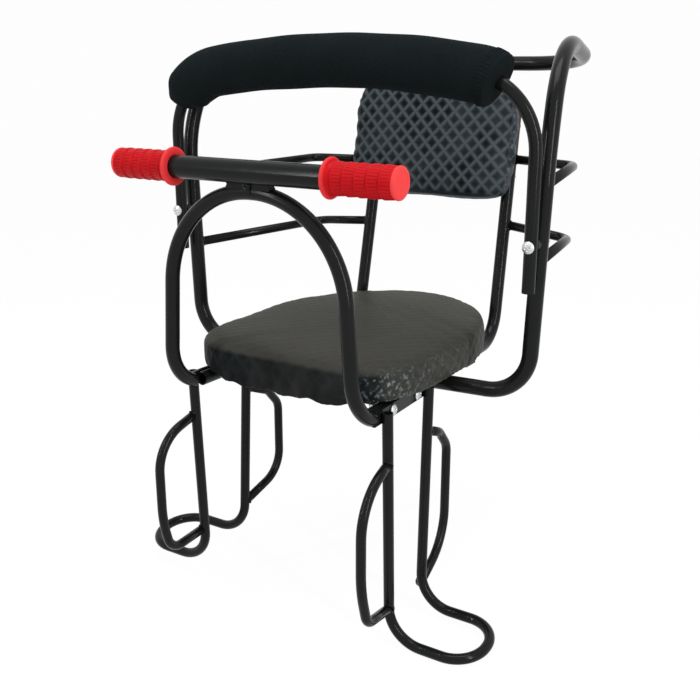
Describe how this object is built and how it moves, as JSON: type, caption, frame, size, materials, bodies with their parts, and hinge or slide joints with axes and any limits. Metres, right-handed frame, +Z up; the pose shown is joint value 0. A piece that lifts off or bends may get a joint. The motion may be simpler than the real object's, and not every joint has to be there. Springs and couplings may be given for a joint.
{
  "type": "rear child bike seat",
  "caption": "Bent steel tube child seat for a bicycle's rear rack, with padded seat and back, padded guard, grip bar and hanging footrests.",
  "frame": {"origin": "middle of the four rack bolt holes, on the underside of the two rack strips", "axes": "+X across the seat, to the viewer's right when the front hoop is seen from in front with the backrest behind it; +Y from the front hoop to the backrest; +Z up"},
  "size_m": [0.497, 0.477, 0.6605],
  "materials": {
    "enamel": "glossy black enamel",
    "grip": "satin red moulded plastic",
    "knit": "matte black knit",
    "foam": "matte foam",
    "vinyl": "satin embossed dark vinyl",
    "board": "plain plywood",
    "zinc": "bright zinc plate"
  },
  "bodies": {
    "root": {"seat_tube": "enamel", "outer_frame": "enamel", "left_upper_link": "enamel", "right_upper_link": "enamel", "left_lower_link": "enamel", "right_lower_link": "enamel", "front_hoop": "enamel", "bar_saddle": "enamel", "grip_bar": "enamel", "left_grip": "grip", "right_grip": "grip", "guard_tube": "enamel", "guard_foam": "foam", "guard_cover": "knit", "guard_spacers": "zinc", "guard_bolts": "zinc", "guard_nuts": "zinc", "seat_cushion": "vinyl", "seat_board": "board", "seat_bolts": "zinc", "seat_tee_nuts": "zinc", "back_cushion": "vinyl", "back_board": "board", "back_bolts": "zinc", "back_tee_nuts": "zinc", "left_footrest": "enamel", "right_footrest": "enamel", "left_front_foot_guard": "enamel", "right_front_foot_guard": "enamel", "left_rear_foot_guard": "enamel", "right_rear_foot_guard": "enamel", "left_bracket": "enamel", "right_bracket": "enamel", "bracket_bolts": "zinc", "bracket_nuts": "zinc", "front_rack_strip": "enamel", "rear_rack_strip": "enamel"}
  },
  "joints": []
}
